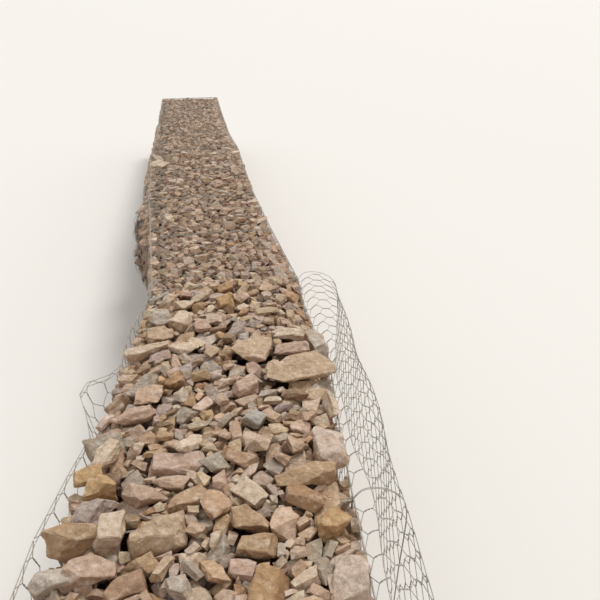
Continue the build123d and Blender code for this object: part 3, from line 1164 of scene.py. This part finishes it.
def open_lid(bay):
    """An open lid: its mesh, the wires at its edges and ends, and the lacing at its hinge."""
    near, far = ends_of(bay)
    u_span = (near + PANEL_END_GAP, far - PANEL_END_GAP)
    surface = open_lid_surface(u_span)
    wires = Wires()
    wires.weave(surface, u_span, (0, LID_REACH), bay + 60, FINE)
    along = np.linspace(*u_span, 40)[None]
    for v in (0, LID_REACH):
        wires.follow(surface, along, np.full_like(along, v), HALF_EDGE, EDGE_SIDES)
    down = np.linspace(0, LID_REACH, 60)[None]
    for u in u_span:
        wires.follow(surface, np.full_like(down, u), down, STRAND, FINE[2])
    hinge_x = HALF_WIDTH - HALF_EDGE
    wires.lace([(hinge_x, y, RIM_Z) for y in u_span], bay, steps=9, sides=5)
    wires.piece(f"open_lid_mesh_{bay}", f"open_lid_{bay}")


river_surface = panel_surface(river_side)
bank_surface = panel_surface(bank_side)
closed_surface = panel_surface(closed_top, LID_LEVEL)
for bay in range(1, BAYS + 1):
    side_panel(bay, "river", river_side, river_surface)
    side_panel(bay, "bank", bank_side, bank_surface)
for bay in range(1, BAYS + 1):
    near, far = ends_of(bay)
    level_panel(bay, f"base_wires_{bay}", f"base_panel_{bay}", HALF_EDGE)
    cross_panel(bay, f"end_wires_{bay}", f"end_panels_{bay}", (near + HALF_EDGE, far - HALF_EDGE))
    cross_panel(bay, f"diaphragm_wires_{bay}", f"diaphragm_{bay}", ((near + far) / 2,))
    if bay > OPEN_BAYS:
        lid_z = RIM_Z + HALF_EDGE
        level_panel(bay, f"closed_lid_mesh_{bay}", f"closed_lid_{bay}", lid_z, closed_surface)
for bay in range(1, OPEN_BAYS + 1):
    open_lid(bay)

# Stage, light and camera

FLOOR_REACH = 400
FLOOR_COLOUR = (0.80, 0.80, 0.79, 1)
SKY_STRENGTH = 0.69
SKY_COLOUR = (1.0, 0.955, 0.90, 1)
SEEN_SKY_STRENGTH = 0.9
SEEN_SKY_COLOUR = (1.0, 0.99, 0.97, 1)
SUN_STRENGTH = 1.8
SUN_COLOUR = (1.0, 0.97, 0.92)
SUN_WIDTH = 22
SUN_TURN = (-36, 0, -40)


def floor():
    """A pale, matt floor."""
    r = FLOOR_REACH
    mesh = bpy.data.meshes.new("floor")
    mesh.from_pydata([(-r, -r, 0), (r, -r, 0), (r, r, 0), (-r, r, 0)], [], [(0, 1, 2, 3)])
    n = Nodes(bpy.data.materials.new("floor"))
    mesh.materials.append(n.finish(Base_Color=FLOOR_COLOUR, Roughness=0.9))
    put("floor", mesh)


def sky():
    """A pale sky, which lights the wall a little more warmly than it looks itself."""
    n = Nodes(bpy.data.worlds.new("sky"))
    rays = n.add("LightPath").outputs
    seen = rays["Is Camera Ray"]
    for ray in ("Is Glossy Ray", "Is Transmission Ray"):
        seen = n.add("Math", {0: seen, 1: rays[ray]}, operation="ADD", use_clamp=True).outputs[0]
    strength = n.ramp(seen, 0, 1, SKY_STRENGTH, SEEN_SKY_STRENGTH)
    colour = n.mix(seen, SKY_COLOUR, SEEN_SKY_COLOUR)
    background = n.add("Background", {"Color": colour, "Strength": strength})
    n.add("OutputWorld", {0: background.outputs[0]})
    bpy.context.scene.world = n.owner


def sun():
    """One wide, soft lamp."""
    light = bpy.data.lights.new("sun", "SUN")
    light.energy = SUN_STRENGTH
    light.angle = radians(SUN_WIDTH)
    light.color = SUN_COLOUR
    put("sun", light).rotation_euler = [radians(angle) for angle in SUN_TURN]


def camera():
    """The photograph's camera, which stands over the wall's near end."""
    data = bpy.data.cameras.new("camera")
    data.sensor_fit = "HORIZONTAL"
    data.angle = 2 * atan(IMAGE_SIDE / 2 / FOCAL_PIXELS)
    data.clip_end = CAMERA_SIGHT
    cam = put("camera", data)
    cam.location = (0, NEAR_Y + CAMERA_PAST_END, RIM_Z + CAMERA_ABOVE_RIM)
    cam.rotation_euler = (radians(90 - CAMERA_PITCH), 0, radians(-CAMERA_YAW))
    bpy.context.scene.camera = cam


floor()
sky()
sun()
camera()
bpy.context.scene.view_settings.view_transform = "Standard"
